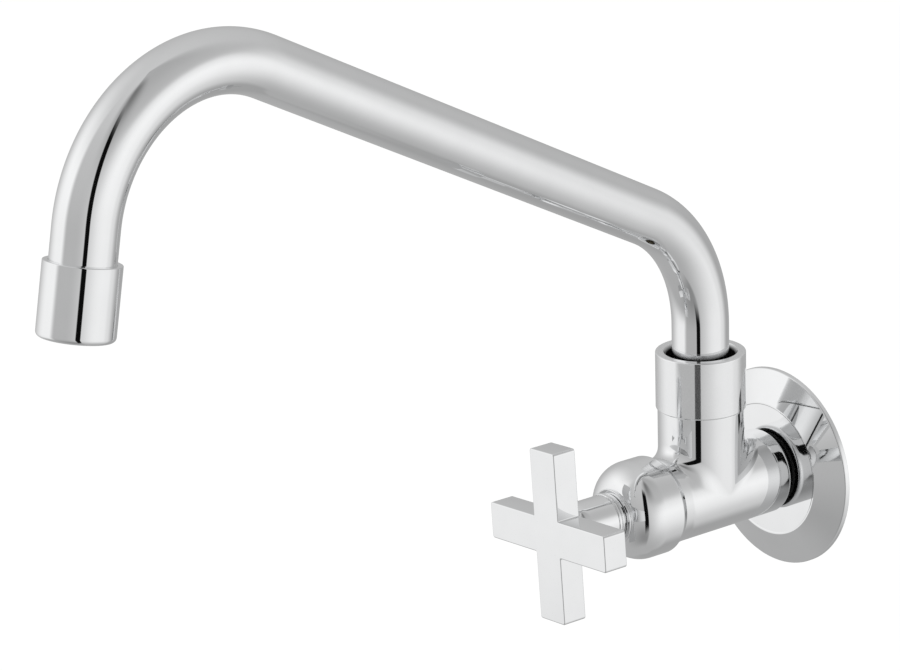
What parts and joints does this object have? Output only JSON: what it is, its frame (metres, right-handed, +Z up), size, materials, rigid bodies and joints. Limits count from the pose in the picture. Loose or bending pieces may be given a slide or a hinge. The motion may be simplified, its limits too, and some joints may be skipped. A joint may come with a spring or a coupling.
{
  "type": "wall faucet",
  "caption": "Wall-mounted sink tap in polished chrome with a round wall flange, a cross handle on a domed bonnet and a long swivelling spout that bends over and down.",
  "frame": {"origin": "where the axis of the inlet crosses the face of the wall", "axes": "+Y into the wall along the inlet, -Y out towards the user, +Z up, +X to the right as seen from the front"},
  "size_m": [0.0752, 0.3182, 0.2274],
  "materials": {
    "chrome_body": "polished chrome plate over brass",
    "chrome_handle": "polished chrome plate over cast brass",
    "chrome_tube": "polished chrome plate over drawn brass tube",
    "stainless_flange": "polished pressed sheet",
    "brass": "machined, bare",
    "steel": "machined, bare",
    "black_rubber": "moulded",
    "grey_rubber": "moulded, soft",
    "fibre": "pressed fibre",
    "nylon": "natural nylon",
    "white_plastic": "moulded"
  },
  "bodies": {
    "tap": {"tap_body": "chrome_body", "wall_flange": "stainless_flange", "flange_seal": "grey_rubber", "bonnet_cover": "chrome_body", "headpart_body": "brass", "headpart_gasket": "fibre", "thrust_washer": "nylon", "spout_nut": "chrome_body", "spout_glide_ring": "nylon"},
    "handle": {"cross_handle": "chrome_handle", "handle_set_screw": "steel", "spindle": "brass", "spindle_clip": "steel", "spindle_o_rings": "black_rubber"},
    "valve": {"plunger": "brass", "seat_washer": "black_rubber", "washer_screw": "brass"},
    "spout": {"spout_tube": "chrome_tube", "spout_ferrule": "brass", "spout_o_rings": "black_rubber", "outlet_ferrule": "chrome_tube", "aerator_housing": "chrome_body", "aerator_washer": "black_rubber", "aerator_insert": "white_plastic", "aerator_mesh": "steel"}
  },
  "joints": [
    {"name": "handle_turn", "type": "hinge", "parent": "tap", "child": "handle", "pos_m": [0, 0, 0], "axis": [0, -1, 0], "range_deg": [0, 855]},
    {"name": "plunger_slide", "type": "slide", "parent": "tap", "child": "valve", "axis": [0, -1, 0], "range_m": [0, 0.00475]},
    {"name": "spout_swivel", "type": "hinge", "parent": "tap", "child": "spout", "pos_m": [0, -0.0357, 0], "axis": [0, 0, 1], "range_deg": [-96.6, 83.4]}
  ],
  "couplings": [
    {"joint": "plunger_slide", "follows": "handle_turn", "m_per_rad": 0.0003183}
  ]
}
